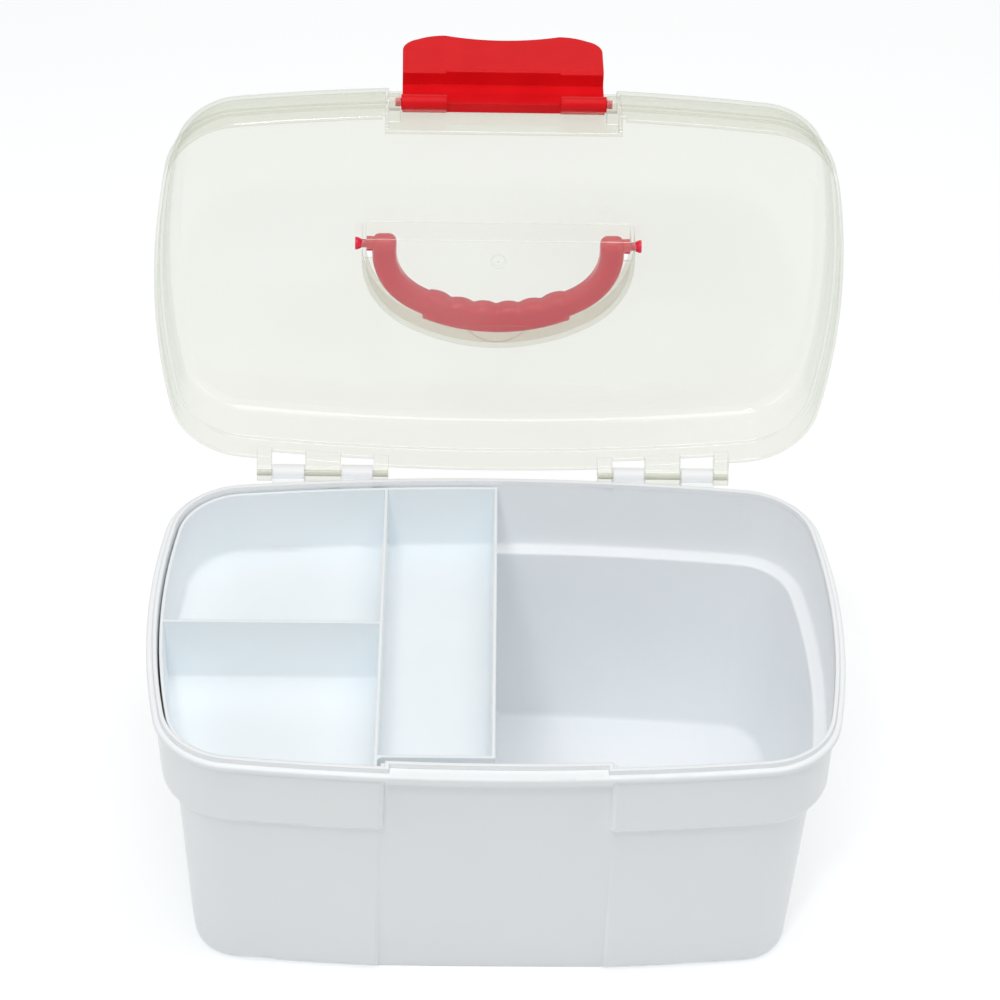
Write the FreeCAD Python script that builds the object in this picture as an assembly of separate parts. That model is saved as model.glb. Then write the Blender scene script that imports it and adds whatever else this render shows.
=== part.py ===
import FreeCAD, Part
import math
import os

# First aid box with a clear hinged lid, a lift-out tray, a folding carry handle and a front latch.
# Millimetres. +X is right, -Y is the front with the latch, +Z is up.
# The origin is the centre of the underside of the tub.
# The lid, handle and latch are drawn closed and then turned to the open rest pose.

Vector = FreeCAD.Vector
x_axis = Vector(1, 0, 0)

# Plan outline of the rim: half sizes, bow radii of the long and short sides, corner radius
rim_half_width = 165.0
rim_half_depth = 104.5
long_side_bow = 1140.0
short_side_bow = 370.0
rim_corner = 39.5

# Tub heights and wall
rim_z = 148.0
flange_thickness = 3.4
flange_edge_round = 1.2
wall = 2.0
step_z = 107.5
ledge_z = 109.6
lip_height = 2.4
lip_inset = 3.0
collar_inset_top = 3.1
collar_inset_bottom = 3.8
collar_bottom_round = 4.0
body_inset_top = 10.4
body_inset_foot = 16.8
foot_round = 4.8
floor_thickness = 2.4
floor_fillet = 4.0
ledge_fillet = 1.5
ledge_round = 1.2

# Latch bay in the front of the tub
bay_half_width = 52.0
bay_half_width_foot = 54.0
bay_inset_top = 8.9
bay_inset_foot = 20.2
bay_edge_round = 3.2
catch_thickness = 5.0
bay_lip_inset = 6.6

# Lid
lid_gap = 0.3
lid_top_z = 184.0
lid_wall = 1.6
skirt_top_z = 162.5
skirt_inset_bottom = 1.0
skirt_inset_top = 1.4
crown_inset_bottom = 2.8
crown_inset_top = 5.8
crown_round = 7.0
lid_bay_half_width = 53.3
lid_bay_inset_rim = 10.2
lid_bay_inset_top = 11.2

# Hinges: axis, barrel and pin radii, and the ends of the five knuckles on each side
hinge_y = 106.5
hinge_z = 148.6
barrel_radius = 4.2
pin_radius = 1.6
pin_clearance = 0.05
knuckle_gap = 0.15
gusset_rise = 6.0
knuckle_ends = [51.5, 59.1, 75.0, 92.7, 109.0, 116.6]
lid_open_angle = 93.0

# Handle recess in the lid and the handle that folds into it
recess_half_width = 65.5
recess_front_y = -21.0
recess_corner_centre_x = 21.5
recess_corner_centre_y = -8.0
recess_corner_radius = 44.0
recess_far_y = 42.1
recess_depth = 15.5
recess_wall = 1.8
recess_front_round = 3.0
scoop_radius = 17.0
scoop_depth = 0.8
scoop_front_y = 30.0
scoop_far_y = 39.4
window_inner_x = 60.2
handle_pivot_y = -12.6
handle_pivot_z = 175.5
handle_thickness = 10.0
arm_outer_inset = 4.9
arm_inner_inset = 16.6
arm_end_x = 30.0
grip_outer_inset = 2.9
grip_half_length = 36.0
lobe_pitch = 10.8
lobe_valley_inset = 17.0
lobe_crest_inset = 18.6
valley_round = 1.5
handle_round = 3.8
handle_pin_radius = 2.0
handle_neck_radius = 2.3
handle_head_radius = 3.1
handle_head_length = 2.9
handle_hang_angle = 3.0

# Latch
latch_axis_y = -101.0
latch_axis_z = 162.5
latch_half_width = 47.0
latch_barrel_end = 47.6
latch_barrel_radius = 3.7
latch_barrel_inner_end = 26.5
latch_pin_radius = 2.0
latch_pin_end = 50.2
latch_outer = -6.4
latch_web_inner = -3.9
latch_catch = 20.0
latch_tip = 50.9
latch_scoop = 47.1
latch_open_angle = 177.0

# Tray
tray_top_z = 147.6
tray_bottom_z = ledge_z + 0.1
tray_floor = 2.0
tray_wall = 1.6
tray_inset_top = 6.2
tray_inset_bottom = 7.5
tray_skew = 0.021
tray_right_x = 0.2
tray_front_inset = 14.6
divider_x = -54.4
divider_y = 0.0
tray_corner = 2.3


def corner_centre():
    """Centre of the front right corner arc, tangent inside both bows."""
    reach_front = long_side_bow - rim_corner
    reach_side = short_side_bow - rim_corner
    front = Vector(0, -rim_half_depth + long_side_bow, 0)
    side = Vector(rim_half_width - short_side_bow, 0, 0)
    line = side - front
    gap = line.Length
    along = (reach_front ** 2 - reach_side ** 2 + gap ** 2) / (2 * gap)
    off = math.sqrt(reach_front ** 2 - along ** 2)
    unit = line * (1 / gap)
    normal = Vector(-unit.y, unit.x, 0)
    choices = [front + unit * along + normal * off, front + unit * along - normal * off]
    return front, side, max(choices, key=lambda point: point.x)


def outline(inset, z):
    """Closed plan outline of the rim moved in by an inset: four bows and four corner arcs."""
    front, side, corner = corner_centre()
    long_join = front + (corner - front).normalize() * (long_side_bow - inset)
    short_join = side + (corner - side).normalize() * (short_side_bow - inset)
    mid = (long_join + short_join) * 0.5 - corner
    corner_mid = corner + mid.normalize() * (rim_corner - inset)
    half_depth = rim_half_depth - inset
    half_width = rim_half_width - inset

    def at(point, sign_x, sign_y):
        return Vector(point.x * sign_x, point.y * sign_y, z)

    points = []
    points.append((at(long_join, -1, 1), Vector(0, -half_depth, z), at(long_join, 1, 1)))
    points.append((at(long_join, 1, 1), at(corner_mid, 1, 1), at(short_join, 1, 1)))
    points.append((at(short_join, 1, 1), Vector(half_width, 0, z), at(short_join, 1, -1)))
    points.append((at(short_join, 1, -1), at(corner_mid, 1, -1), at(long_join, 1, -1)))
    points.append((at(long_join, 1, -1), Vector(0, half_depth, z), at(long_join, -1, -1)))
    points.append((at(long_join, -1, -1), at(corner_mid, -1, -1), at(short_join, -1, -1)))
    points.append((at(short_join, -1, -1), Vector(-half_width, 0, z), at(short_join, -1, 1)))
    points.append((at(short_join, -1, 1), at(corner_mid, -1, 1), at(long_join, -1, 1)))
    return Part.Wire([Part.Arc(*three).toShape() for three in points])


def drafted(low_inset, low_z, high_inset, high_z):
    """Solid between two insets of the rim outline."""
    return Part.makeLoft([outline(low_inset, low_z), outline(high_inset, high_z)], True, True)


def box(x0, x1, y0, y1, z0, z1):
    return Part.makeBox(x1 - x0, y1 - y0, z1 - z0, Vector(x0, y0, z0))


def rod(x0, x1, y, z, radius):
    """Round bar along X."""
    return Part.makeCylinder(radius, x1 - x0, Vector(x0, y, z), x_axis)


def prism_x(points, x0, x1):
    """Solid of a (y, z) outline between two X positions."""
    corners = [Vector(x0, y, z) for y, z in points]
    face = Part.Face(Part.makePolygon(corners + [corners[0]]))
    return face.extrude(Vector(x1 - x0, 0, 0))


def level_edges(shape, z):
    """Edges that lie at one height."""
    found = []
    for edge in shape.Edges:
        bounds = edge.BoundBox
        if abs(bounds.ZMin - z) < 0.01 and abs(bounds.ZMax - z) < 0.01:
            found.append(edge)
    return found


def upright_edges(shape, test):
    """Edges that rise between levels and pass the test on their centre."""
    found = []
    for edge in shape.Edges:
        bounds = edge.BoundBox
        if bounds.ZLength > 5 and bounds.XLength < 4 and bounds.YLength < 12:
            if test(edge.CenterOfMass):
                found.append(edge)
    return found


def bay_half(z):
    """Half width of the latch bay at a height."""
    return bay_half_width_foot + (bay_half_width - bay_half_width_foot) * z / (rim_z - catch_thickness)


def bay_solid(beside, behind, low_z, high_z):
    """Space in front of the sloping bay panel, out past the rim, grown beside and behind the bay."""
    slope = (bay_inset_foot - bay_inset_top) / (rim_z - catch_thickness)
    low_y = -rim_half_depth + bay_inset_foot - slope * low_z + behind
    high_y = -rim_half_depth + bay_inset_foot - slope * high_z + behind
    far_y = -rim_half_depth - 10
    section = prism_x([(far_y, low_z), (low_y, low_z), (high_y, high_z), (far_y, high_z)], -80, 80)
    low_half = bay_half(low_z) + beside
    high_half = bay_half(high_z) + beside
    corners = [Vector(-low_half, far_y - 5, low_z), Vector(low_half, far_y - 5, low_z),
               Vector(high_half, far_y - 5, high_z), Vector(-high_half, far_y - 5, high_z)]
    front = Part.Face(Part.makePolygon(corners + [corners[0]])).extrude(Vector(0, 80, 0))
    return section.common(front)


def bay_edge(side, low_inset, low_z, high_inset, high_z):
    """Sliver that rounds one outer upright edge of the bay when it is cut away."""
    bow = bay_half_width ** 2 / (2 * long_side_bow)
    slope = (high_inset - low_inset) / (high_z - low_z)
    wires = []
    for z in (low_z - 1, high_z + 1):
        face_y = -rim_half_depth + low_inset + slope * (z - low_z) + bow
        inner_x = bay_half(z)
        outer_x = inner_x + bay_edge_round
        part_way = bay_edge_round * (1 - math.sqrt(0.5))
        start = Vector(side * outer_x, face_y, z)
        middle = Vector(side * (inner_x + part_way), face_y + part_way, z)
        finish = Vector(side * inner_x, face_y + bay_edge_round, z)
        back = Vector(side * (inner_x - 1), face_y + bay_edge_round, z)
        front = Vector(side * (inner_x - 1), face_y - 2, z)
        corner = Vector(side * outer_x, face_y - 2, z)
        wires.append(Part.Wire([Part.Arc(start, middle, finish).toShape(),
                                Part.LineSegment(finish, back).toShape(),
                                Part.LineSegment(back, front).toShape(),
                                Part.LineSegment(front, corner).toShape(),
                                Part.LineSegment(corner, start).toShape()]))
    return Part.makeLoft(wires, True, True)


def with_bay(solid, low_inset, low_z, high_inset, high_z):
    """Cuts the latch bay into a drafted solid and rounds the bay's outer upright edges."""
    top = rim_z - catch_thickness
    solid = solid.cut(bay_solid(0, 0, -5, top))
    top_inset = high_inset
    if high_z > top:
        top_inset = low_inset + (high_inset - low_inset) * (top - low_z) / (high_z - low_z)
    for side in (-1, 1):
        edge = bay_edge(side, low_inset, low_z, top_inset, min(top, high_z))
        solid = solid.cut(edge.common(bay_solid(bay_edge_round + 2, 0, -5, top + 5)))
    return solid


def base_tub():
    body = drafted(body_inset_foot, 0, body_inset_top - 0.1, step_z + 2)
    body = body.makeFillet(foot_round, level_edges(body, 0))
    collar = drafted(collar_inset_bottom, step_z, collar_inset_top, rim_z)
    collar = collar.makeFillet(collar_bottom_round, level_edges(collar, step_z))
    body = with_bay(body, body_inset_foot, 0, body_inset_top - 0.1, step_z + 2)
    collar = with_bay(collar, collar_inset_bottom, step_z, collar_inset_top, rim_z)
    outside = body.fuse(collar)

    lower = drafted(body_inset_foot + wall - 0.14, floor_thickness,
                    body_inset_top + wall - 0.1, ledge_z + 1)
    lower = lower.makeFillet(floor_fillet, level_edges(lower, floor_thickness))
    upper = drafted(collar_inset_bottom + wall, ledge_z, collar_inset_top + wall, rim_z + 10)
    inside = lower.fuse(upper)
    rim = outline(0, ledge_z)
    outer_reach = collar_inset_bottom + wall + 1
    inner = [edge for edge in level_edges(inside, ledge_z) if edge.distToShape(rim)[0] > outer_reach]
    inside = inside.makeFillet(ledge_round, inner)
    outer = [edge for edge in level_edges(inside, ledge_z) if edge.distToShape(rim)[0] < outer_reach]
    inside = inside.makeFillet(ledge_fillet, outer)
    inside = inside.cut(bay_solid(wall, wall, -5, rim_z + 20))
    tub = outside.cut(inside)

    flange = drafted(0, rim_z - flange_thickness, 0, rim_z)
    rounded = level_edges(flange, rim_z) + level_edges(flange, rim_z - flange_thickness)
    flange = flange.makeFillet(flange_edge_round, rounded)
    catch = drafted(0, rim_z - catch_thickness, 0, rim_z)
    rounded = level_edges(catch, rim_z) + level_edges(catch, rim_z - catch_thickness)
    catch = catch.makeFillet(flange_edge_round, rounded)
    catch = catch.common(box(-bay_half_width, bay_half_width, -120, -80, 0, 200))
    tub = tub.fuse(flange.fuse(catch).cut(inside))
    tub = tub.fuse(lip())
    for x0, x1 in tub_knuckles():
        tub = tub.fuse(tub_knuckle(x0, x1).cut(inside))
    for x0, x1 in lid_knuckles():
        tub = tub.cut(rod(x0 - 0.4, x1 + 0.4, hinge_y, hinge_z, barrel_radius + 0.4))
    for side in (-1, 1):
        ends = sorted([side * knuckle_ends[0], side * knuckle_ends[-1]])
        tub = tub.cut(rod(ends[0], ends[1], hinge_y, hinge_z, pin_radius + pin_clearance))
    return tub.removeSplitter()


def lip():
    """Raised lip round the mouth, stepped in behind the latch catch."""
    top = rim_z + lip_height
    low = rim_z - 1
    ring = drafted(lip_inset, low, lip_inset, top).cut(drafted(lip_inset + wall, 0, lip_inset + wall, 200))
    inner = drafted(bay_lip_inset, low, bay_lip_inset, top)
    inner = inner.cut(drafted(bay_lip_inset + wall, 0, bay_lip_inset + wall, 200))
    window = box(-bay_half_width, bay_half_width, -120, -80, 0, 200)
    ring = ring.cut(window).fuse(inner.common(window))
    for side in (-1, 1):
        ends = sorted([side * bay_half_width, side * (bay_half_width - wall)])
        link = drafted(lip_inset, low, lip_inset, top)
        link = link.cut(drafted(bay_lip_inset + wall, 0, bay_lip_inset + wall, 200))
        ring = ring.fuse(link.common(box(ends[0], ends[1], -120, -80, 0, 200)))
    return ring


def spans(first):
    """X spans of every second knuckle on both sides of the box."""
    found = []
    for side in (-1, 1):
        for low, high in list(zip(knuckle_ends, knuckle_ends[1:]))[first::2]:
            ends = sorted([side * (low + knuckle_gap), side * (high - knuckle_gap)])
            found.append(tuple(ends))
    return found


def lid_knuckles():
    return spans(0)


def tub_knuckles():
    return spans(1)


def tub_knuckle(x0, x1):
    """Barrel on the tub with a gusset down to the collar."""
    reach = 18.0
    tangent = barrel_radius * math.sqrt(0.5)
    out_y = hinge_y + tangent
    out_z = hinge_z - tangent
    web = prism_x([(out_y - reach, out_z - reach), (out_y, out_z), (hinge_y, hinge_z),
                   (out_y - reach, rim_z - 0.5)], x0, x1)
    return rod(x0, x1, hinge_y, hinge_z, barrel_radius).fuse(web)


def lid_knuckle(x0, x1):
    """Barrel on the lid with a gusset up to the skirt."""
    reach = 18.0
    low = rim_z + lid_gap
    tangent = barrel_radius * math.sqrt(0.5)
    out_y = hinge_y + tangent
    out_z = hinge_z + tangent
    top = out_z + gusset_rise
    web = prism_x([(out_y - reach, low), (hinge_y, low), (out_y, out_z), (out_y - gusset_rise, top),
                   (out_y - reach, top)], x0, x1)
    return rod(x0, x1, hinge_y, hinge_z, barrel_radius).fuse(web)


def recess_outline(inset, z, front_y):
    """D outline of the handle recess: straight front, two corner arcs and a wide far arc."""
    half = recess_half_width - inset
    corner_r = recess_corner_radius - inset
    drop = recess_far_y - recess_corner_centre_y
    wide = (recess_corner_centre_x ** 2 + drop ** 2 - recess_corner_radius ** 2) / (
        2 * (drop - recess_corner_radius))
    wide_centre = recess_far_y - wide
    join = Vector(recess_corner_centre_x, recess_corner_centre_y - wide_centre, 0)
    join = join.normalize() * (wide - inset)
    join_y = wide_centre + join.y
    angle = math.atan2(join_y - recess_corner_centre_y, join.x - recess_corner_centre_x)
    mid = Vector(recess_corner_centre_x + corner_r * math.cos(angle / 2),
                 recess_corner_centre_y + corner_r * math.sin(angle / 2), z)
    right = [Vector(half, front_y, z), Vector(half, recess_corner_centre_y, z), mid,
             Vector(join.x, join_y, z)]
    left = [Vector(-point.x, point.y, z) for point in right]
    far = Vector(0, recess_far_y - inset, z)
    edges = [Part.LineSegment(left[0], right[0]).toShape(),
             Part.LineSegment(right[0], right[1]).toShape(),
             Part.Arc(right[1], right[2], right[3]).toShape(),
             Part.Arc(right[3], far, left[3]).toShape(),
             Part.Arc(left[3], left[2], left[1]).toShape(),
             Part.LineSegment(left[1], left[0]).toShape()]
    return Part.Wire(edges)


def recess_solid(inset, low_z, high_z):
    front_y = recess_front_y + inset
    solid = Part.Face(recess_outline(inset, low_z, front_y)).extrude(Vector(0, 0, high_z - low_z))
    rounds = upright_edges(solid, lambda c: c.y < front_y + 1)
    return solid.makeFillet(recess_front_round - inset, rounds)


def lid_shape():
    """Lid as moulded, in its closed place."""
    low = rim_z + lid_gap
    skirt = drafted(skirt_inset_bottom, low, skirt_inset_top, skirt_top_z)
    skirt = skirt.makeFillet(1.0, level_edges(skirt, skirt_top_z))
    crown = drafted(crown_inset_bottom, skirt_top_z - 2, crown_inset_top, lid_top_z)
    crown = crown.makeFillet(crown_round, level_edges(crown, lid_top_z))
    outside = skirt.fuse(crown)
    bay_low_y = -rim_half_depth + lid_bay_inset_rim
    bay_high_y = -rim_half_depth + lid_bay_inset_top
    bay = prism_x([(-130, low - 1), (bay_low_y, low - 1), (bay_high_y, lid_top_z + 1),
                   (-130, lid_top_z + 1)], -lid_bay_half_width, lid_bay_half_width)
    outside = outside.cut(bay)

    inner_skirt = drafted(skirt_inset_bottom + lid_wall, low - 1,
                          skirt_inset_top + lid_wall, skirt_top_z - lid_wall)
    inner_crown = drafted(crown_inset_bottom + lid_wall, skirt_top_z - lid_wall - 2,
                          crown_inset_top + lid_wall, lid_top_z - recess_wall)
    inner_crown = inner_crown.makeFillet(crown_round - lid_wall,
                                         level_edges(inner_crown, lid_top_z - recess_wall))
    inside = inner_skirt.fuse(inner_crown)
    bay_skin = prism_x([(-130, low - 2), (bay_low_y + lid_wall, low - 2),
                        (bay_high_y + lid_wall, lid_top_z + 1), (-130, lid_top_z + 1)],
                       -lid_bay_half_width - lid_wall, lid_bay_half_width + lid_wall)
    inside = inside.cut(bay_skin)
    boss = recess_solid(0, lid_top_z - recess_depth - recess_wall, lid_top_z)
    inside = inside.cut(boss)
    lid = outside.cut(inside)
    lid = lid.cut(recess_solid(recess_wall, lid_top_z - recess_depth, lid_top_z + 1))
    floor_z = lid_top_z - recess_depth
    scoop = Part.makeCylinder(scoop_radius, scoop_depth + 1,
                              Vector(0, scoop_far_y - scoop_radius, floor_z - scoop_depth))
    scoop = scoop.common(box(-60, 60, scoop_front_y, 60, 0, 200))
    lid = lid.cut(scoop.common(recess_solid(recess_wall, floor_z - 10, floor_z + 1)))
    for side in (-1, 1):
        ends = sorted([side * window_inner_x, side * (recess_half_width - recess_wall)])
        lid = lid.cut(box(ends[0], ends[1], -15.5, -9.5, floor_z - 3, floor_z + 0.1))
        ends = sorted([side * (recess_half_width - 3), side * (recess_half_width + 3)])
        lid = lid.cut(rod(ends[0], ends[1], handle_pivot_y, handle_pivot_z,
                          handle_pin_radius + pin_clearance))
    lid = latch_lugs(lid)
    for x0, x1 in tub_knuckles():
        lid = lid.cut(box(x0 - 0.3, x1 + 0.3, 95, 120, 140, rim_z + 6.2))
    for x0, x1 in lid_knuckles():
        lid = lid.fuse(lid_knuckle(x0, x1).cut(inside))
    for side in (-1, 1):
        ends = sorted([side * knuckle_ends[0], side * knuckle_ends[-1]])
        lid = lid.cut(rod(ends[0] - 1, ends[1] + 1, hinge_y, hinge_z, pin_radius + pin_clearance))
    return lid.removeSplitter()


def latch_lugs(lid):
    """Two lugs in the lid's bay that carry the latch pins, and notches that pass the tub lip."""
    for side in (-1, 1):
        ends = sorted([side * (latch_barrel_end + 0.35), side * (lid_bay_half_width + 0.5)])
        lug = rod(ends[0], ends[1], latch_axis_y, latch_axis_z, 4.0)
        back_y = -rim_half_depth + lid_bay_inset_rim + 0.5
        lug = lug.fuse(prism_x([(latch_axis_y - 1, latch_axis_z - 3.87), (back_y, latch_axis_z - 6),
                                (back_y, latch_axis_z + 6), (latch_axis_y - 1, latch_axis_z + 3.87)],
                               ends[0], ends[1]))
        lid = lid.fuse(lug)
        lid = lid.cut(rod(ends[0] - 1, ends[1] + 1, latch_axis_y, latch_axis_z,
                          latch_pin_radius + pin_clearance)
                      .common(box(-latch_pin_end - 0.3, latch_pin_end + 0.3, -120, -80, 100, 200)))
        ends = sorted([side * (lid_bay_half_width - 5), side * (lid_bay_half_width + 3)])
        notch = box(ends[0], ends[1], -rim_half_depth + lip_inset - 1.3,
                    -rim_half_depth + bay_lip_inset + wall + 0.3, 140, rim_z + lip_height + 0.5)
        lid = lid.cut(notch)
    return lid


def handle_arm(low):
    """Right arm of the handle, from the pivot into the end of the grip."""
    outer = Part.Face(recess_outline(arm_outer_inset, low, handle_pivot_y))
    plan = outer.cut(Part.Face(recess_outline(arm_inner_inset, low, handle_pivot_y - 5)))
    plan = plan.common(box(arm_end_x, 100, handle_pivot_y - 1, 100, low - 1, low + 1))
    arm = plan.Faces[0].extrude(Vector(0, 0, handle_thickness))
    long_edges = []
    for edge in level_edges(arm, low) + level_edges(arm, low + handle_thickness):
        centre = edge.CenterOfMass
        if centre.y > handle_pivot_y + 0.1 and centre.x > arm_end_x + 0.1:
            long_edges.append(edge)
    return arm.makeFillet(handle_round, long_edges)


def grip_point(x, inset, z):
    """Point on the wide far arc of the recess, moved in by an inset."""
    drop = recess_far_y - recess_corner_centre_y
    wide = (recess_corner_centre_x ** 2 + drop ** 2 - recess_corner_radius ** 2) / (
        2 * (drop - recess_corner_radius))
    return Vector(x, recess_far_y - wide + math.sqrt((wide - inset) ** 2 - x ** 2), z)


def handle_grip(low):
    """Grip with six finger lobes along its inner side."""
    end = grip_half_length
    start = grip_point(-end, grip_outer_inset, low)
    finish = grip_point(end, grip_outer_inset, low)
    lobe_end = 3 * lobe_pitch
    edges = [Part.Arc(start, grip_point(0, grip_outer_inset, low), finish).toShape()]
    corner = grip_point(end, 12.0, low)
    first = grip_point(lobe_end, lobe_valley_inset, low)
    edges.append(Part.LineSegment(finish, corner).toShape())
    edges.append(Part.LineSegment(corner, first).toShape())
    for index in range(6):
        x = lobe_end - index * lobe_pitch
        edges.append(Part.Arc(grip_point(x, lobe_valley_inset, low),
                              grip_point(x - lobe_pitch / 2, lobe_crest_inset, low),
                              grip_point(x - lobe_pitch, lobe_valley_inset, low)).toShape())
    last = grip_point(-lobe_end, lobe_valley_inset, low)
    corner = grip_point(-end, 12.0, low)
    edges.append(Part.LineSegment(last, corner).toShape())
    edges.append(Part.LineSegment(corner, start).toShape())
    grip = Part.Face(Part.Wire(edges)).extrude(Vector(0, 0, handle_thickness))
    valleys = upright_edges(grip, lambda c: abs(c.x) < lobe_end - 1)
    grip = grip.makeFillet(valley_round, valleys)
    return grip.makeFillet(handle_round, level_edges(grip, low) + level_edges(grip, low + handle_thickness))


def handle_shape():
    """Handle folded down in the recess of the closed lid."""
    low = handle_pivot_z - handle_thickness / 2
    arm = handle_arm(low)
    mirrored = arm.mirror(Vector(0, 0, 0), x_axis)
    handle = handle_grip(low).fuse(arm).fuse(mirrored)
    inner = recess_half_width - arm_inner_inset
    outer = recess_half_width - arm_outer_inset
    collar_end = recess_half_width - recess_wall - 0.4
    head_start = recess_half_width + 0.4
    cone_length = handle_head_length * 0.6
    stations = [(outer - 0.5, collar_end, 3.6), (outer, head_start + 0.5, handle_pin_radius),
                (head_start + cone_length, head_start + handle_head_length, handle_head_radius)]
    for side in (-1, 1):
        ends = sorted([side * inner, side * outer])
        knob = rod(ends[0], ends[1], handle_pivot_y, handle_pivot_z, handle_thickness / 2)
        rims = [edge for edge in knob.Edges if edge.BoundBox.XLength < 0.01]
        handle = handle.fuse(knob.makeFillet(handle_round, rims))
        start = Vector(side * head_start, handle_pivot_y, handle_pivot_z)
        handle = handle.fuse(Part.makeCone(handle_neck_radius, handle_head_radius, cone_length, start,
                                           Vector(side, 0, 0)))
        for near, far, radius in stations:
            ends = sorted([side * near, side * far])
            handle = handle.fuse(rod(ends[0], ends[1], handle_pivot_y, handle_pivot_z, radius))
    return handle.removeSplitter()


def latch_point(out, down):
    """Place in the closed latch: out is inwards from the pivot, down is below it."""
    return (latch_axis_y + out, latch_axis_z - down)


def latch_shape():
    """Latch hanging closed: web in front of the catch, hook below it and a flared grip."""
    profile = [(latch_outer, 1.4), (-1.5, 1.4), (latch_web_inner, 13.5), (latch_web_inner, latch_catch),
               (3.3, latch_catch), (3.8, latch_catch + 0.5), (3.8, latch_catch + 2.2),
               (2.5, latch_tip + 0.6), (0.0, latch_tip + 0.6), (1.2, 24.3), (-1.0, 22.9),
               (latch_outer, 18.0)]
    section = [latch_point(out, down) for out, down in profile]
    body = prism_x(section, -latch_half_width, latch_half_width)
    body = body.common(latch_front_outline())
    for side in (-1, 1):
        ends = sorted([side * latch_barrel_inner_end, side * latch_barrel_end])
        relief = prism_x([latch_point(2.3, latch_catch - 0.1), latch_point(4.0, latch_catch - 0.1),
                          latch_point(4.0, latch_catch + 1.6)], ends[0], ends[1])
        body = body.cut(relief)
        body = body.fuse(rod(ends[0], ends[1], latch_axis_y, latch_axis_z, latch_barrel_radius))
        skin = prism_x([latch_point(latch_outer, 0.8), latch_point(-2.6, -2.6),
                        latch_point(0.0, 0.0), latch_point(-1.5, 3.0), latch_point(latch_outer, 3.0)],
                       ends[0], ends[1])
        body = body.fuse(skin.common(box(-latch_half_width, latch_half_width, -130, -80, 100, 200)))
        ends = sorted([side * (latch_barrel_end - 1), side * latch_pin_end])
        body = body.fuse(rod(ends[0], ends[1], latch_axis_y, latch_axis_z, latch_pin_radius))
    return body.removeSplitter()


def latch_front_outline():
    """Front view of the latch as a solid bar along Y: a shallow thumb scoop in the lower edge."""
    top = latch_axis_z + 6
    tip = latch_axis_z - latch_tip
    scoop = latch_axis_z - latch_scoop
    half = latch_half_width

    def at(x, z):
        return Vector(x, -130, z)

    edges = [Part.LineSegment(at(-half, top), at(half, top)).toShape(),
             Part.LineSegment(at(half, top), at(half, tip + 13)).toShape(),
             Part.Arc(at(half, tip + 13), at(half - 2.2, tip + 7), at(half - 7, tip + 3.6)).toShape(),
             Part.Arc(at(half - 7, tip + 3.6), at(34, tip + 1.0), at(27, tip)).toShape(),
             Part.Arc(at(27, tip), at(0, scoop), at(-27, tip)).toShape(),
             Part.Arc(at(-27, tip), at(-34, tip + 1.0), at(7 - half, tip + 3.6)).toShape(),
             Part.Arc(at(7 - half, tip + 3.6), at(2.2 - half, tip + 7), at(-half, tip + 13)).toShape(),
             Part.LineSegment(at(-half, tip + 13), at(-half, top)).toShape()]
    return Part.Face(Part.Wire(edges)).extrude(Vector(0, 60, 0))


def skewed(x0, x1, y0, y1):
    """Upright solid between two lines that follow the skew of the tray's long walls."""
    corners = [Vector(x + tray_skew * y, y, 100) for x, y in ((x0, y0), (x1, y0), (x1, y1), (x0, y1))]
    return Part.Face(Part.makePolygon(corners + [corners[0]])).extrude(Vector(0, 0, 100))


def tray_shape():
    """Lift-out tray with three compartments that hangs on the ledge of the left half."""
    front_y = -rim_half_depth + tray_front_inset
    half = tray_wall / 2
    notch_x = divider_x + half
    outside = drafted(tray_inset_bottom, tray_bottom_z, tray_inset_top, tray_top_z)
    outside = outside.common(skewed(-200, tray_right_x, -150, 150))
    outside = outside.cut(skewed(notch_x, 20, -150, front_y))
    corner_test = lambda c: abs(c.x - notch_x - tray_skew * c.y) < 1 and c.y < 0
    tray = outside.makeFillet(tray_corner, upright_edges(outside, corner_test))
    spaces = [(-200, divider_x - half, divider_y + half, 150),
              (-200, divider_x - half, -150, divider_y - half),
              (divider_x + half, tray_right_x - tray_wall, front_y + tray_wall, 150)]
    for x0, x1, y0, y1 in spaces:
        space = drafted(tray_inset_bottom + tray_wall, tray_bottom_z + tray_floor,
                        tray_inset_top + tray_wall - 0.02, tray_top_z + 1)
        space = space.common(skewed(x0, x1, y0, y1))
        space = space.makeFillet(2.5, level_edges(space, tray_bottom_z + tray_floor))
        tray = tray.cut(space)
    return tray.removeSplitter()


def hinge_pin(side):
    ends = sorted([side * (knuckle_ends[0] + 0.3), side * (knuckle_ends[-1] - 0.3)])
    return rod(ends[0], ends[1], hinge_y, hinge_z, pin_radius)


def turned(shape, y, z, angle):
    copy = shape.copy()
    copy.rotate(Vector(0, y, z), x_axis, angle)
    return copy


def opened(shape):
    """Carries a piece of the closed lid to the open rest pose."""
    return turned(shape, hinge_y, hinge_z, -lid_open_angle)


def build():
    handle = turned(handle_shape(), handle_pivot_y, handle_pivot_z, handle_hang_angle)
    latch = turned(latch_shape(), latch_axis_y, latch_axis_z, -latch_open_angle)
    return {
        "base_tub": base_tub(),
        "organiser_tray": tray_shape(),
        "lid_shell": opened(lid_shape()),
        "carry_handle": opened(handle),
        "front_latch": opened(latch),
        "hinge_pin_left": hinge_pin(-1),
        "hinge_pin_right": hinge_pin(1),
    }


os.makedirs("parts", exist_ok=True)
for name, shape in build().items():
    shape.exportStep("parts/" + name + ".step")
    bounds = shape.BoundBox
    print(name, "valid", shape.isValid(), "solids", len(shape.Solids), "volume", round(shape.Volume),
          "z", round(bounds.ZMin, 2), round(bounds.ZMax, 2))
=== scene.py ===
import math
import bmesh
import bpy
from mathutils import Matrix, Vector

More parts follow.
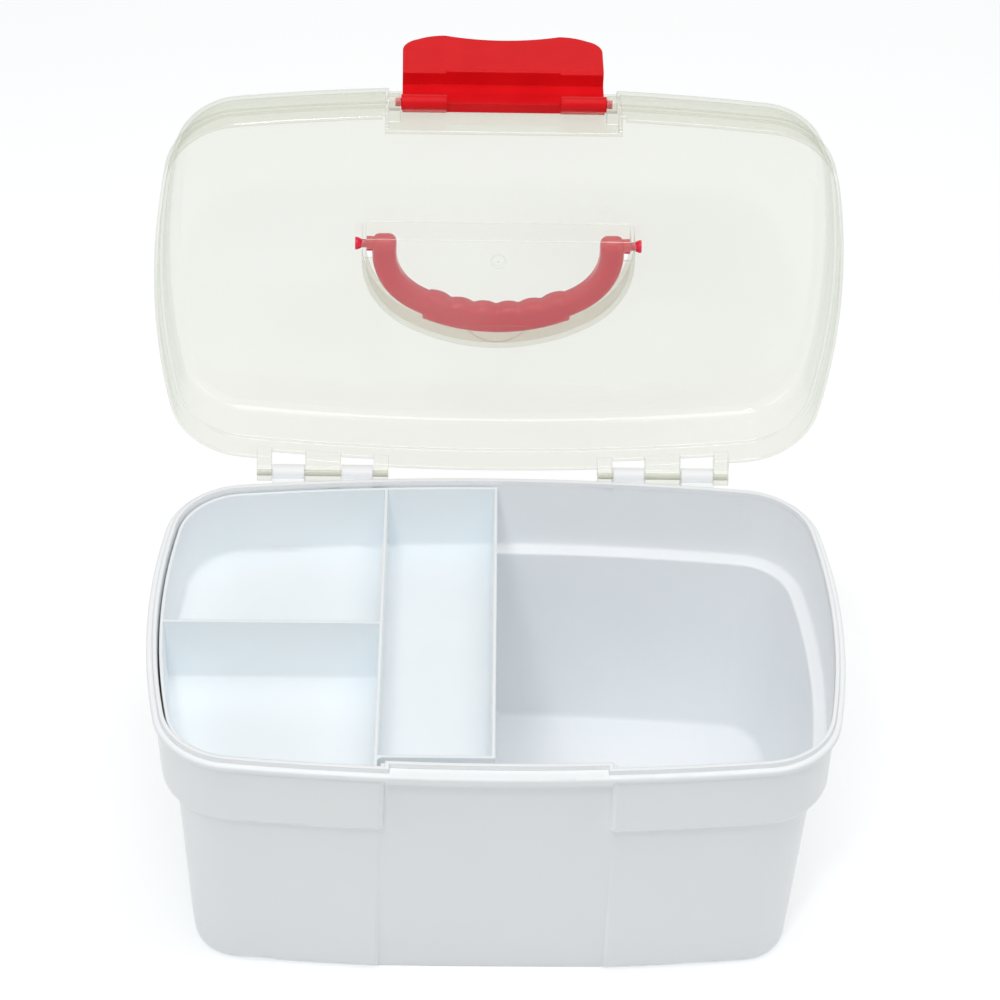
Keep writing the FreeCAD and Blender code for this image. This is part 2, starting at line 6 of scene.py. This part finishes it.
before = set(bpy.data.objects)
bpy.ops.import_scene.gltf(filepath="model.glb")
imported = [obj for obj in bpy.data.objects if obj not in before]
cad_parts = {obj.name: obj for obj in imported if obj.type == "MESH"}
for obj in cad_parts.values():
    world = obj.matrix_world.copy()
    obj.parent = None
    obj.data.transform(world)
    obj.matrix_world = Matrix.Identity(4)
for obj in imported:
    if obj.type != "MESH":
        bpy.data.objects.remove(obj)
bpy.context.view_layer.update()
print("frame loaded:", len(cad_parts), "nodes")


# Millimetres to metres
def mm(value):
    return value / 1000


# Turns a written sRGB colour into the linear one that the shaders use
def toLinear(hexColour):
    channels = [int(hexColour[i:i + 2], 16) / 255 for i in (1, 3, 5)]
    linear = [c / 12.92 if c <= 0.04045 else ((c + 0.055) / 1.055) ** 2.4 for c in channels]
    return (*linear, 1.0)


# Adds a node with its settings; an input given as a socket is linked, any other is set
def addNode(tree, kind, inputs=None, **settings):
    node = tree.nodes.new(kind)
    for name, value in settings.items():
        setattr(node, name, value)
    for socket, value in (inputs or {}).items():
        if isinstance(value, bpy.types.NodeSocket):
            tree.links.new(value, node.inputs[socket])
        else:
            node.inputs[socket].default_value = value
    return node


def newMaterial(name):
    material = bpy.data.materials.new(name)
    material.use_nodes = True
    material.node_tree.nodes.clear()
    return material, material.node_tree


def setRamp(node, stops):
    ramp = node.color_ramp
    while len(ramp.elements) < len(stops):
        ramp.elements.new(0.5)
    for element, (place, colour) in zip(ramp.elements, stops):
        element.position = place
        element.color = toLinear(colour)


# Camera: fitted to the rim, the lid and the hinges of the photographed box
cameraSetup = {
    "lens": 138.71, "sensor": 36.0,
    "target": (0.0, 0.0, 0.100), "distance": 1.85664,
    "azimuth": -2.2863, "elevation": 41.2509, "roll": 2.1086,
    "slideRight": 0.003196, "slideUp": 0.0942987,
}


def makeCamera(setup):
    azimuth = math.radians(setup["azimuth"])
    elevation = math.radians(setup["elevation"])
    roll = math.radians(setup["roll"])
    forward = Vector((-math.sin(azimuth) * math.cos(elevation),
                      math.cos(azimuth) * math.cos(elevation), -math.sin(elevation)))
    right = Vector((math.cos(azimuth), math.sin(azimuth), 0.0))
    up = right.cross(forward)
    rolledRight = right * math.cos(roll) + up * math.sin(roll)
    rolledUp = up * math.cos(roll) - right * math.sin(roll)
    place = Vector(setup["target"]) - forward * setup["distance"]
    place += rolledRight * setup["slideRight"] + rolledUp * setup["slideUp"]
    data = bpy.data.cameras.new("studioCamera")
    data.lens = setup["lens"]
    data.sensor_width = setup["sensor"]
    camera = bpy.data.objects.new("studioCamera", data)
    bpy.context.scene.collection.objects.link(camera)
    turn = Matrix((rolledRight, rolledUp, -forward)).transposed().to_4x4()
    camera.matrix_world = Matrix.Translation(place) @ turn
    bpy.context.scene.camera = camera


makeCamera(cameraSetup)
print("camera placed")


# Studio: a pale floor that reads as white in the picture, a soft box above, a fill on each side
# and a small key lamp in front
studio = {
    "floorRadius": 6.0, "floorSides": 96, "floorColour": "#EEF0F1", "floorGlow": 0.34,
    "floorRoughness": 0.9, "floorSheen": 0.1,
    "fibresPerMetre": 900.0, "fibreStrength": 0.03, "fibreDepthMm": 0.2,
    "ambient": 0.47, "skyWhite": 1.0,
    "softBoxes": [
        # name, place, aimed at, width, height, watts
        ("topBox", (0.10, -0.10, 1.9), (0.0, 0.0, 0.12), 1.6, 1.3, 14.4),
        ("leftFill", (-1.7, -0.7, 1.0), (0.0, 0.0, 0.16), 1.0, 1.4, 4.0),
        ("rightFill", (1.8, -0.5, 0.9), (0.0, 0.0, 0.16), 1.0, 1.4, 3.5),
        ("keyBox", (-0.35, -1.15, 1.75), (0.0, 0.05, 0.25), 0.22, 0.22, 4.6),
    ],
}


# Camera, mirror and see-through rays meet the plain white of the paper sweep
def seenDirectly(tree):
    path = addNode(tree, "ShaderNodeLightPath")
    either = addNode(tree, "ShaderNodeMath", {
        0: path.outputs["Is Camera Ray"], 1: path.outputs["Is Glossy Ray"]}, operation="MAXIMUM")
    anyOfThem = addNode(tree, "ShaderNodeMath", {
        0: either.outputs[0], 1: path.outputs["Is Transmission Ray"]}, operation="MAXIMUM")
    return anyOfThem.outputs[0]


# Seamless paper: matt fibre surface, lifted to white where it is seen
def paperSweep(look):
    material, tree = newMaterial("seamless paper, matt")
    coords = addNode(tree, "ShaderNodeTexCoord")
    fibres = addNode(tree, "ShaderNodeTexNoise", {
        "Vector": coords.outputs["Object"], "Scale": look["fibresPerMetre"]})
    bump = addNode(tree, "ShaderNodeBump", {
        "Height": fibres.outputs[0], "Strength": look["fibreStrength"],
        "Distance": mm(look["fibreDepthMm"])})
    paper = addNode(tree, "ShaderNodeBsdfPrincipled", {
        "Base Color": toLinear(look["floorColour"]), "Roughness": look["floorRoughness"],
        "Specular IOR Level": look["floorSheen"], "Normal": bump.outputs[0]})
    glow = addNode(tree, "ShaderNodeEmission", {"Strength": look["floorGlow"]})
    lifted = addNode(tree, "ShaderNodeAddShader", {0: paper.outputs[0], 1: glow.outputs[0]})
    surface = addNode(tree, "ShaderNodeMixShader", {
        0: seenDirectly(tree), 1: paper.outputs[0], 2: lifted.outputs[0]})
    addNode(tree, "ShaderNodeOutputMaterial", {"Surface": surface.outputs[0]})
    return material


def finishMesh(name, mesh, material):
    data = bpy.data.meshes.new(name)
    mesh.to_mesh(data)
    mesh.free()
    data.materials.append(material)
    piece = bpy.data.objects.new(name, data)
    bpy.context.scene.collection.objects.link(piece)
    return piece


def makeStudio(look):
    world = bpy.data.worlds.new("whiteStudio")
    bpy.context.scene.world = world
    world.use_nodes = True
    tree = world.node_tree
    tree.nodes.clear()
    strength = addNode(tree, "ShaderNodeMapRange", {
        "Value": seenDirectly(tree), "To Min": look["ambient"], "To Max": look["skyWhite"]})
    sky = addNode(tree, "ShaderNodeBackground", {"Strength": strength.outputs[0]})
    addNode(tree, "ShaderNodeOutputWorld", {"Surface": sky.outputs[0]})

    mesh = bmesh.new()
    bmesh.ops.create_circle(mesh, cap_ends=True, segments=look["floorSides"], radius=look["floorRadius"])
    floor = finishMesh("studioFloor", mesh, paperSweep(look))
    for name, place, aim, width, height, watts in look["softBoxes"]:
        data = bpy.data.lights.new(name, "AREA")
        data.shape = "RECTANGLE"
        data.size = width
        data.size_y = height
        data.energy = watts
        lamp = bpy.data.objects.new(name, data)
        bpy.context.scene.collection.objects.link(lamp)
        turn = (Vector(aim) - Vector(place)).to_track_quat("-Z", "Y").to_matrix().to_4x4()
        lamp.matrix_world = Matrix.Translation(place) @ turn


makeStudio(studio)
print("studio built")


# What every moulded wall has: faint flow marks from the melt, a very fine polished-tool texture
# and edges that are a little rounded
mouldedWall = {
    "flowDetail": 3.0, "flowLow": 0.3, "flowHigh": 0.7, "tintLow": 0.35, "tintHigh": 0.65,
    "grainDetail": 2.0, "grainDepthMm": 0.02, "edgeSamples": 6,
}


def wallPattern(tree, look, flowRoughness):
    coords = addNode(tree, "ShaderNodeTexCoord")
    flow = addNode(tree, "ShaderNodeTexNoise", {
        "Vector": coords.outputs["Object"], "Scale": 1 / mm(look["flowMm"]),
        "Detail": mouldedWall["flowDetail"], "Roughness": flowRoughness})
    tint = addNode(tree, "ShaderNodeValToRGB", {"Fac": flow.outputs[0]})
    setRamp(tint, [(mouldedWall["tintLow"], look["colourDeep"]), (mouldedWall["tintHigh"], look["colour"])])
    grain = addNode(tree, "ShaderNodeTexNoise", {
        "Vector": coords.outputs["Object"], "Scale": 1 / mm(look["grainMm"]),
        "Detail": mouldedWall["grainDetail"]})
    soften = addNode(tree, "ShaderNodeBevel", {"Radius": mm(look["edgeMm"])},
                     samples=mouldedWall["edgeSamples"])
    bump = addNode(tree, "ShaderNodeBump", {
        "Height": grain.outputs[0], "Strength": look["grainStrength"],
        "Distance": mm(mouldedWall["grainDepthMm"]), "Normal": soften.outputs[0]})
    return {"place": coords.outputs["Object"], "flow": flow.outputs[0], "tint": tint.outputs[0],
            "rounded": soften.outputs[0], "normal": bump.outputs[0]}


# A value that follows the flow marks from one figure to another
def alongFlow(tree, flow, lowest, highest):
    follow = addNode(tree, "ShaderNodeMapRange", {
        "Value": flow, "From Min": mouldedWall["flowLow"], "From Max": mouldedWall["flowHigh"],
        "To Min": lowest, "To Max": highest})
    return follow.outputs[0]


opaqueWall = {"ior": 1.49, "roughnessSpread": 0.03, "flowRoughness": 0.55}


# Opaque injection moulded polypropylene: a soft, waxy shine that varies a little with the flow
# of the melt, and light that goes a little way into the wall
def mouldedPolypropylene(name, look):
    material, tree = newMaterial(name)
    wall = wallPattern(tree, look, opaqueWall["flowRoughness"])
    spread = opaqueWall["roughnessSpread"]
    plastic = addNode(tree, "ShaderNodeBsdfPrincipled", {
        "Base Color": wall["tint"], "IOR": opaqueWall["ior"], "Specular IOR Level": look["sheen"],
        "Roughness": alongFlow(tree, wall["flow"], look["roughness"] - spread, look["roughness"] + spread),
        "Subsurface Weight": look["glow"], "Subsurface Radius": look["glowTint"],
        "Subsurface Scale": mm(look["glowMm"]), "Normal": wall["normal"]})
    addNode(tree, "ShaderNodeOutputMaterial", {"Surface": plastic.outputs[0]})
    return material


# A ring with a dot in its middle, strongest on the mark and 0 elsewhere
def gateMark(tree, place, look):
    reach = addNode(tree, "ShaderNodeVectorMath", {
        0: place, 1: tuple(mm(v) for v in look["gateAt"])}, operation="DISTANCE")
    offRing = addNode(tree, "ShaderNodeMath", {
        0: reach.outputs["Value"], 1: mm(look["gateRingMm"])}, operation="SUBTRACT")
    away = addNode(tree, "ShaderNodeMath", {0: offRing.outputs[0]}, operation="ABSOLUTE")
    ring = addNode(tree, "ShaderNodeMapRange", {
        "Value": away.outputs[0], "From Min": 0.0, "From Max": mm(look["gateWidthMm"]),
        "To Min": look["gateRing"], "To Max": 0.0})
    dot = addNode(tree, "ShaderNodeMapRange", {
        "Value": reach.outputs["Value"], "From Min": mm(look["gateDotMm"]) * look["gateDotCore"],
        "From Max": mm(look["gateDotMm"]), "To Min": 1.0, "To Max": 0.0})
    mark = addNode(tree, "ShaderNodeMath", {0: ring.outputs[0], 1: dot.outputs[0]}, operation="MAXIMUM")
    return mark.outputs[0]


# Natural, unpigmented polypropylene in a thin wall: clear enough to read through, milky, and
# denser where the wall is seen edge on
def clearPolypropylene(name, look):
    material, tree = newMaterial(name)
    pattern = wallPattern(tree, look, look["flowRoughness"])
    edgeOn = addNode(tree, "ShaderNodeLayerWeight", {"Blend": 0.5, "Normal": pattern["normal"]})
    steep = addNode(tree, "ShaderNodeMath", {
        0: edgeOn.outputs["Facing"], 1: look["edgePower"]}, operation="POWER")
    density = addNode(tree, "ShaderNodeMapRange", {
        "Value": steep.outputs[0], "To Min": look["haze"], "To Max": look["hazeEdge"]})
    uneven = alongFlow(tree, pattern["flow"], 1 - look["hazeSpread"], 1 + look["hazeSpread"])
    milky = addNode(tree, "ShaderNodeMath", {0: density.outputs[0], 1: uneven}, operation="MULTIPLY")
    # rounded edges turn away from the wall's own normal and look denser, like a drawn line
    wallSide = addNode(tree, "ShaderNodeNewGeometry")
    turned = addNode(tree, "ShaderNodeVectorMath", {
        0: pattern["rounded"], 1: wallSide.outputs["Normal"]}, operation="DOT_PRODUCT")
    rounding = addNode(tree, "ShaderNodeMapRange", {
        "Value": turned.outputs["Value"], "From Min": 1.0, "From Max": look["edgeTurn"],
        "To Min": 0.0, "To Max": 1.0})
    gate = gateMark(tree, pattern["place"], look)
    line = addNode(tree, "ShaderNodeMath", {0: rounding.outputs[0], 1: gate}, operation="MAXIMUM")
    opacity = addNode(tree, "ShaderNodeMath", {
        0: line.outputs[0], 1: look["edgeLine"], 2: milky.outputs[0]},
        operation="MULTIPLY_ADD", use_clamp=True)
    facing = addNode(tree, "ShaderNodeBsdfDiffuse", {
        "Color": pattern["tint"], "Normal": pattern["normal"]})
    through = addNode(tree, "ShaderNodeBsdfTranslucent", {
        "Color": pattern["tint"], "Normal": pattern["normal"]})
    haze = addNode(tree, "ShaderNodeMixShader", {
        0: look["hazeThrough"], 1: facing.outputs[0], 2: through.outputs[0]})
    # light that runs along the wall for longer comes out a little darker
    passed = addNode(tree, "ShaderNodeValToRGB", {"Fac": steep.outputs[0]})
    setRamp(passed, [(0.0, look["clearColour"]), (look["alongFrom"], look["clearAlong"])])
    clear = addNode(tree, "ShaderNodeBsdfTransparent", {"Color": passed.outputs[0]})
    wall = addNode(tree, "ShaderNodeMixShader", {
        0: opacity.outputs[0], 1: clear.outputs[0], 2: haze.outputs[0]})
    gloss = addNode(tree, "ShaderNodeBsdfAnisotropic", {
        "Roughness": look["glossRoughness"], "Normal": pattern["normal"]})
    # the shine of both faces of the wall is given by the face that light meets first
    grazing = addNode(tree, "ShaderNodeMath", {
        0: edgeOn.outputs["Facing"], 1: look["glossPower"]}, operation="POWER")
    shine = addNode(tree, "ShaderNodeMapRange", {
        "Value": grazing.outputs[0], "To Min": look["gloss"], "To Max": look["glossEdge"]})
    # rounded edges get extra reflection on top of the even shine: a painted highlight that draws bright
    # lines along them
    shineAndPaintedEdges = addNode(tree, "ShaderNodeMath", {
        0: rounding.outputs[0], 1: look["paintedEdgeShine"], 2: shine.outputs[0]},
        operation="MULTIPLY_ADD", use_clamp=True)
    outward = addNode(tree, "ShaderNodeMath", {
        0: 1.0, 1: wallSide.outputs["Backfacing"]}, operation="SUBTRACT")
    reflect = addNode(tree, "ShaderNodeMath", {
        0: shineAndPaintedEdges.outputs[0], 1: outward.outputs[0]}, operation="MULTIPLY")
    surface = addNode(tree, "ShaderNodeMixShader", {
        0: reflect.outputs[0], 1: wall.outputs[0], 2: gloss.outputs[0]})
    addNode(tree, "ShaderNodeOutputMaterial", {"Surface": surface.outputs[0]})
    return material


tubFinish = {
    "colour": "#FBFDFF", "colourDeep": "#F9FCFE", "flowMm": 60.0, "roughness": 0.34, "sheen": 0.4,
    "grainMm": 0.6, "grainStrength": 0.05, "edgeMm": 1.0,
    "glow": 0.15, "glowMm": 1.5, "glowTint": (0.9, 0.95, 1.0),
}
trayFinish = {
    "colour": "#F5FAFD", "colourDeep": "#F2F8FB", "flowMm": 45.0, "roughness": 0.32, "sheen": 0.4,
    "grainMm": 0.6, "grainStrength": 0.05, "edgeMm": 0.6,
    "glow": 0.15, "glowMm": 1.5, "glowTint": (0.9, 0.95, 1.0),
}
latchFinish = {
    "colour": "#E2181F", "colourDeep": "#DC141B", "flowMm": 18.0, "roughness": 0.2, "sheen": 0.1,
    "grainMm": 0.5, "grainStrength": 0.06, "edgeMm": 0.5,
    "glow": 0.08, "glowMm": 0.8, "glowTint": (1.0, 0.3, 0.3),
}
# the handle is the same red plastic as the latch; its lighter red is painted light that makes up for the
# shade it sits in behind the clear lid
handleLightenedFinish = {
    "colour": "#FA1E48", "colourDeep": "#F41A42", "flowMm": 18.0, "roughness": 0.16, "sheen": 0.5,
    "grainMm": 0.5, "grainStrength": 0.06, "edgeMm": 0.5,
    "glow": 0.08, "glowMm": 0.8, "glowTint": (1.0, 0.3, 0.3),
}
pinFinish = {
    "colour": "#EFF1EE", "colourDeep": "#EAECE8", "flowMm": 8.0, "roughness": 0.35, "sheen": 0.4,
    "grainMm": 0.4, "grainStrength": 0.05, "edgeMm": 0.2,
    "glow": 0.3, "glowMm": 1.5, "glowTint": (1.0, 1.0, 0.9),
}
lidFinish = {
    "colour": "#ECEDE5", "colourDeep": "#E7E9E0", "flowMm": 55.0, "flowRoughness": 0.5,
    "grainMm": 0.7, "grainStrength": 0.05, "edgeMm": 0.6,
    "clearColour": "#FCFCF9", "clearAlong": "#F1F3EE", "alongFrom": 0.7,
    "haze": 0.105, "hazeEdge": 0.2, "hazeSpread": 0.06, "hazeThrough": 0.5, "edgePower": 3.0,
    "gloss": 0.06, "glossEdge": 0.3, "glossPower": 5.0, "glossRoughness": 0.08,
    # paintedEdgeShine is a painted highlight: extra reflection along the rounded edges
    "edgeTurn": 0.8, "edgeLine": 0.20, "paintedEdgeShine": 0.55,
    # the ring and dot that the injection gate leaves on the recess floor
    "gateAt": (0.0, 130.6, 262.7), "gateRingMm": 3.7, "gateWidthMm": 0.45, "gateRing": 0.5,
    "gateDotMm": 0.8, "gateDotCore": 0.5,
}


def dressNode(node, material):
    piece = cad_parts[node]
    piece.data.materials.clear()
    piece.data.materials.append(material)


latchRed = mouldedPolypropylene("polypropylene, moulded, red latch", latchFinish)
# a lighter copy of the latch red: painted light for the handle in the lid's shade
handleLightenedRed = mouldedPolypropylene("polypropylene, moulded, red handle, lightened for shade", handleLightenedFinish)
naturalRod = mouldedPolypropylene("polypropylene rod, extruded, natural", pinFinish)
dressNode("base_tub", mouldedPolypropylene("polypropylene, moulded, white tub", tubFinish))
dressNode("organiser_tray", mouldedPolypropylene("polypropylene, moulded, white tray", trayFinish))
dressNode("lid_shell", clearPolypropylene("polypropylene, moulded, natural clear", lidFinish))
dressNode("carry_handle", handleLightenedRed)
dressNode("front_latch", latchRed)
for side in ("left", "right"):
    dressNode("hinge_pin_" + side, naturalRod)
print("shells dressed")

scene = bpy.context.scene
scene.view_settings.view_transform = "Standard"
# enough bounces for the light inside the white tub, and for the many clear walls in a row
lightBounces = {"max_bounces": 16, "diffuse_bounces": 10, "transparent_max_bounces": 32}
for name, count in lightBounces.items():
    setattr(scene.cycles, name, count)
